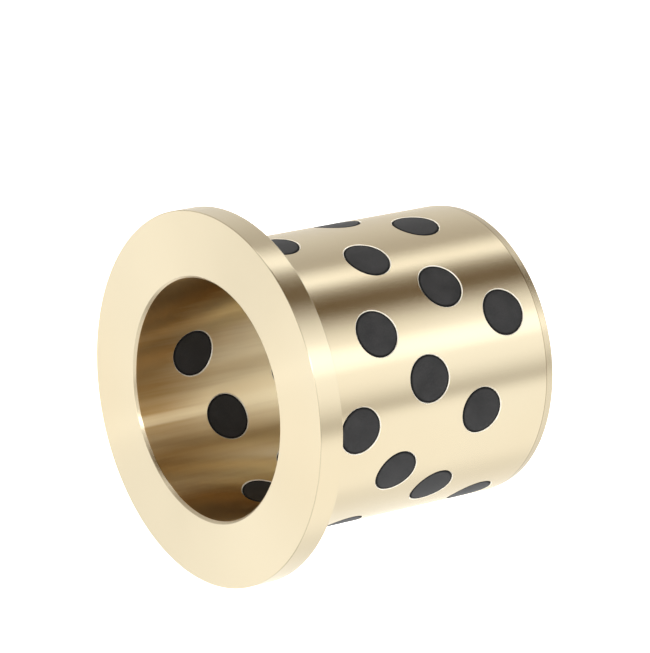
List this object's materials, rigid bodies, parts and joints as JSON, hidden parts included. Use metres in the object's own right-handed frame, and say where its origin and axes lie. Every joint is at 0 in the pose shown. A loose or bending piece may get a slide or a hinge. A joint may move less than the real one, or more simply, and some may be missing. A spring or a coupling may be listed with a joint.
{
  "type": "flanged plain bearing",
  "caption": "Flanged self-lubricating plain bearing: a turned bronze sleeve with flush graphite plugs that guides a turning or sliding shaft.",
  "frame": {"origin": "centre of the plain end's face, which the bush stands on", "axes": "+Z along the bore from the plain end to the flange, +X through the first seat of the first plug row"},
  "size_m": [0.07, 0.07, 0.06],
  "materials": {
    "bearing_bronze": "fine turned, pale yellow bronze, satin with streaks along the sleeve",
    "graphite": "dark grey pressed graphite, dull, machined flush"
  },
  "bodies": {
    "root": {"flanged_sleeve": "bearing_bronze", "graphite_plug_1_1": "graphite", "graphite_plug_1_2": "graphite", "graphite_plug_1_3": "graphite", "graphite_plug_1_4": "graphite", "graphite_plug_1_5": "graphite", "graphite_plug_1_6": "graphite", "graphite_plug_1_7": "graphite", "graphite_plug_2_1": "graphite", "graphite_plug_2_2": "graphite", "graphite_plug_2_3": "graphite", "graphite_plug_2_4": "graphite", "graphite_plug_2_5": "graphite", "graphite_plug_2_6": "graphite", "graphite_plug_2_7": "graphite", "graphite_plug_3_1": "graphite", "graphite_plug_3_2": "graphite", "graphite_plug_3_3": "graphite", "graphite_plug_3_4": "graphite", "graphite_plug_3_5": "graphite", "graphite_plug_3_6": "graphite", "graphite_plug_3_7": "graphite", "graphite_plug_4_1": "graphite", "graphite_plug_4_2": "graphite", "graphite_plug_4_3": "graphite", "graphite_plug_4_4": "graphite", "graphite_plug_4_5": "graphite", "graphite_plug_4_6": "graphite", "graphite_plug_4_7": "graphite"}
  },
  "joints": []
}
